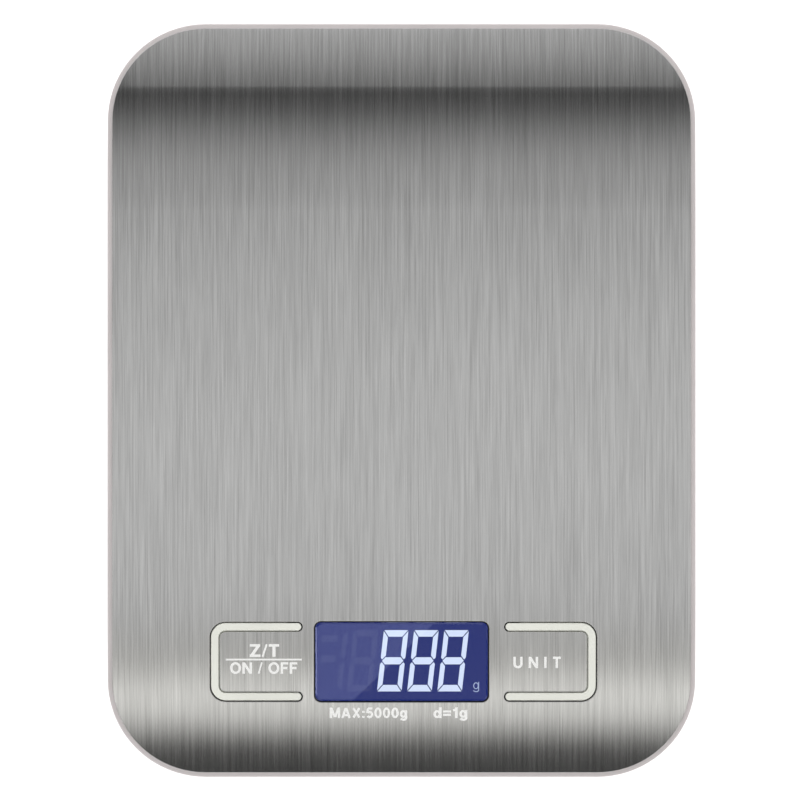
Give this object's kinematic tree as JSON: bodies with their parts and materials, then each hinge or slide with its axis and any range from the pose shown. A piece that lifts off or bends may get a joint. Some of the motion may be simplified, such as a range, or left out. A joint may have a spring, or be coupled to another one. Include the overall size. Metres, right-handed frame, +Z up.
{
  "type": "digital gram scale",
  "caption": "Thin digital gram scale: brushed steel platform with a display and flexing keys, on load-cell feet, with a battery bay underneath.",
  "frame": {"origin": "on the table, under the middle of the scale", "axes": "+Z up; +Y to the rear, away from the display end; +X to the right of someone reading the display"},
  "size_m": [0.14, 0.18, 0.017],
  "materials": {
    "steel_sheet": "satin, brushed along the length",
    "spring_steel": "satin",
    "case_plastic": "fine texture",
    "key_plastic": "smooth",
    "window_acrylic": "polished",
    "lcd_blue": "polished",
    "diffuser": "polished",
    "black_plastic": "moulded",
    "white_plastic": "moulded",
    "foam": "closed-cell foam",
    "foot_rubber": "moulded",
    "contact_rubber": "banded",
    "circuit_board": "solder mask",
    "cell_jacket": "printed sleeve",
    "plated_metal": "nickel plated",
    "lead_red": "insulation",
    "lead_black": "insulation",
    "lead_white": "insulation"
  },
  "bodies": {
    "case": {"platform_cover": "steel_sheet", "upper_frame": "case_plastic", "base_shell": "case_plastic", "display_window": "window_acrylic", "lcd_gasket": "foam", "lcd_glass": "lcd_blue", "lcd_frame": "black_plastic", "backlight_guide": "diffuser", "backlight_led": "white_plastic", "zebra_connector": "contact_rubber", "main_pcb": "circuit_board", "controller_chip": "black_plastic", "power_switch_body": "black_plastic", "unit_switch_body": "black_plastic", "battery_1": "cell_jacket", "battery_2": "cell_jacket", "battery_contact_positive": "plated_metal", "battery_contact_negative": "plated_metal", "battery_contact_bridge": "plated_metal", "battery_lead_red": "lead_red", "battery_lead_black": "lead_black", "case_screw_1": "plated_metal", "case_screw_2": "plated_metal", "case_screw_3": "plated_metal", "case_screw_4": "plated_metal", "case_screw_5": "plated_metal", "case_screw_6": "plated_metal", "pcb_screw_1": "plated_metal", "pcb_screw_2": "plated_metal", "pcb_screw_3": "plated_metal", "pcb_screw_4": "plated_metal", "foot_front_left": "white_plastic", "foot_pad_front_left": "foot_rubber", "load_cell_front_left": "spring_steel", "load_cell_clip_front_left": "white_plastic", "load_cell_lead_front_left": "lead_white", "foot_front_right": "white_plastic", "foot_pad_front_right": "foot_rubber", "load_cell_front_right": "spring_steel", "load_cell_clip_front_right": "white_plastic", "load_cell_lead_front_right": "lead_white", "foot_rear_left": "white_plastic", "foot_pad_rear_left": "foot_rubber", "load_cell_rear_left": "spring_steel", "load_cell_clip_rear_left": "white_plastic", "load_cell_lead_rear_left": "lead_white", "foot_rear_right": "white_plastic", "foot_pad_rear_right": "foot_rubber", "load_cell_rear_right": "spring_steel", "load_cell_clip_rear_right": "white_plastic", "load_cell_lead_rear_right": "lead_white"},
    "power_key": {"power_key_tongue": "steel_sheet", "power_key_lever": "key_plastic"},
    "unit_key": {"unit_key_tongue": "steel_sheet", "unit_key_lever": "key_plastic"},
    "power_plunger": {"power_switch_plunger": "white_plastic"},
    "unit_plunger": {"unit_switch_plunger": "white_plastic"},
    "battery_door": {"battery_door": "case_plastic"}
  },
  "joints": [
    {"name": "power_key_press", "type": "hinge", "parent": "case", "child": "power_key", "pos_m": [-0.02475, -0.0622, 0.0161], "axis": [0, -0.9974, -0.0715], "range_deg": [0, 1.9], "stiffness_Nm_per_rad": 1.2},
    {"name": "power_switch_press", "type": "slide", "parent": "case", "child": "power_plunger", "axis": [0, 0.0715, -0.9974], "range_m": [0, 0.0003]},
    {"name": "unit_key_press", "type": "hinge", "parent": "case", "child": "unit_key", "pos_m": [0.02565, -0.0622, 0.0161], "axis": [0, 0.9974, 0.0715], "range_deg": [0, 1.9], "stiffness_Nm_per_rad": 1.2},
    {"name": "unit_switch_press", "type": "slide", "parent": "case", "child": "unit_plunger", "axis": [0, 0.0715, -0.9974], "range_m": [0, 0.0003]},
    {"name": "battery_door_swing", "type": "hinge", "parent": "case", "child": "battery_door", "pos_m": [-0.029, 0.008, 0.0022], "axis": [0, 1, 0], "range_deg": [0, 75]}
  ],
  "couplings": [
    {"joint": "power_switch_press", "follows": "power_key_press", "m_per_rad": 0.0088},
    {"joint": "unit_switch_press", "follows": "unit_key_press", "m_per_rad": 0.0088}
  ]
}
